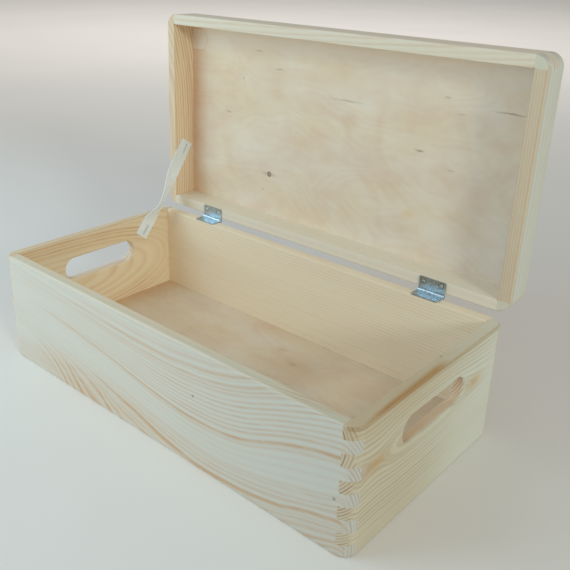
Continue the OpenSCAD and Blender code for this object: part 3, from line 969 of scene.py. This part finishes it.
def ribbon_mesh(route, length):
    """The woven strip as a closed mesh, with cross ribs and thicker edges."""
    rows = round(length / RIB_PITCH) * RIB_STEPS
    mesh = bmesh.new()
    under, upper = [ribbon_side(mesh, route, length, rows, side) for side in (-1, 1)]
    for i in range(rows):
        for j in range(RIBBON_COLUMNS):
            mesh.faces.new((upper[i][j], upper[i + 1][j], upper[i + 1][j + 1], upper[i][j + 1]))
            mesh.faces.new((under[i][j], under[i][j + 1], under[i + 1][j + 1], under[i + 1][j]))
        for j in (0, RIBBON_COLUMNS):
            mesh.faces.new((under[i][j], under[i + 1][j], upper[i + 1][j], upper[i][j]))
    for i in (0, rows):
        for j in range(RIBBON_COLUMNS):
            mesh.faces.new((under[i][j], upper[i][j], upper[i][j + 1], under[i][j + 1]))
    bmesh.ops.recalc_face_normals(mesh, faces=mesh.faces)
    data = bpy.data.meshes.new("ribbon_strip")
    mesh.to_mesh(data)
    mesh.free()
    return data


def stay_ribbon():
    """The ribbon stay, built as a strip that sags between its two staples with the lid open, in place of the
    CAD ribbon.
    """
    route = ribbon_route()
    length = route_length(route)
    data = ribbon_mesh(route, length)
    data.materials.append(cotton())
    strip = bpy.data.objects.new("ribbon_strip", data)
    bpy.context.scene.collection.objects.link(strip)
    low, high = (ribbon_point(route, s, 0, 0) for s in (STAPLED, 1 - STAPLED))
    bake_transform(strip)
    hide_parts("stay_ribbon")


# The photograph's camera: place in metres, direction in degrees, and framing as shares of the picture's width
CAMERA_AT = Vector((0.40667, -0.41831, 0.37143))
CAMERA_AZIMUTH = math.radians(40.87)
CAMERA_ELEVATION = math.radians(22.17)
CAMERA_ROLL = math.radians(1.46)
CAMERA_LENS = 47.25
CAMERA_SHIFT = (0.0185, -0.058)
CAMERA_NEAR = 0.01


def camera():
    """Camera at the photograph's viewing angle."""
    sine, cosine = math.sin(CAMERA_AZIMUTH), math.cos(CAMERA_AZIMUTH)
    flat = math.cos(CAMERA_ELEVATION)
    back = Vector((sine * flat, -cosine * flat, math.sin(CAMERA_ELEVATION)))
    right = Vector((cosine, sine, 0))
    up = back.cross(right)
    turned_right = right * math.cos(CAMERA_ROLL) + up * math.sin(CAMERA_ROLL)
    turned_up = up * math.cos(CAMERA_ROLL) - right * math.sin(CAMERA_ROLL)
    data = bpy.data.cameras.new("camera")
    data.lens = CAMERA_LENS
    data.shift_x, data.shift_y = CAMERA_SHIFT
    data.clip_start = CAMERA_NEAR
    body = bpy.data.objects.new("camera", data)
    axes = Matrix((turned_right, turned_up, back)).transposed()
    body.matrix_world = Matrix.Translation(CAMERA_AT) @ axes.to_4x4()
    bpy.context.scene.collection.objects.link(body)
    bpy.context.scene.camera = body


FLOOR_HALF = 40.0
FLOOR_PALE = colour(238, 233, 225)
FLOOR_PALER = colour(244, 239, 231)


def floor():
    """Plain pale floor under the box."""
    material, tree = new_tree("pale_floor")
    x, y, _ = place(tree, False)
    base = mix(noise(x / 400, y / 400).step(-0.5, 0.5), FLOOR_PALE, FLOOR_PALER)
    finish_surface(material, base, 0.9)
    data = bpy.data.meshes.new("floor")
    corners = [(-FLOOR_HALF, -FLOOR_HALF, 0), (FLOOR_HALF, -FLOOR_HALF, 0),
               (FLOOR_HALF, FLOOR_HALF, 0), (-FLOOR_HALF, FLOOR_HALF, 0)]
    data.from_pydata(corners, [], [(0, 1, 2, 3)])
    data.materials.append(material)
    ground = bpy.data.objects.new("floor", data)
    bpy.context.scene.collection.objects.link(ground)


# Places that the lights face, in metres
BOX_MIDDLE = Vector((0, 0.03, 0.1))
FAR_FLOOR = Vector((-4.2, 5.0, 0))

# Lights as name, direction, distance, size, power, tint and the place that they face, in metres and watts
LIGHTS = [
    ("front_light", (-0.75, -0.75, 0.55), 1.1, 0.8, 6.2, (0.58, 0.83, 1.0), BOX_MIDDLE),
    ("right_light", (1.0, -0.3725, 0.431), 2.35, 0.4, 13.5, (0.84, 1.0, 0.96), BOX_MIDDLE),
    ("floor_light", (0.55, -0.65, 0.6), 5.0, 3.0, 70, (1.0, 1.0, 1.0), FAR_FLOOR),
]
SKY_COLOUR = (1.0, 1.0, 1.0, 1.0)
SKY_STRENGTH = 0.4


def softbox(name, direction, distance, size, power, tint, aim):
    """A square light that faces a place from a direction."""
    data = bpy.data.lights.new(name, "AREA")
    data.size = size
    data.energy = power
    data.color = tint
    lamp = bpy.data.objects.new(name, data)
    lamp.location = aim + Vector(direction).normalized() * distance
    lamp.rotation_euler = (aim - lamp.location).to_track_quat("-Z", "Y").to_euler()
    bpy.context.scene.collection.objects.link(lamp)


def studio():
    """Soft lights round the box, one that lights only the floor behind it, and a pale surround."""
    for light in LIGHTS:
        softbox(*light)
    world = bpy.data.worlds.new("studio")
    world.use_nodes = True
    sky = world.node_tree.nodes["Background"]
    sky.inputs["Color"].default_value = SKY_COLOUR
    sky.inputs["Strength"].default_value = SKY_STRENGTH
    bpy.context.scene.world = world
    bpy.context.scene.view_settings.view_transform = "Standard"


dress_nodes()
stay_ribbon()
floor()
studio()
camera()
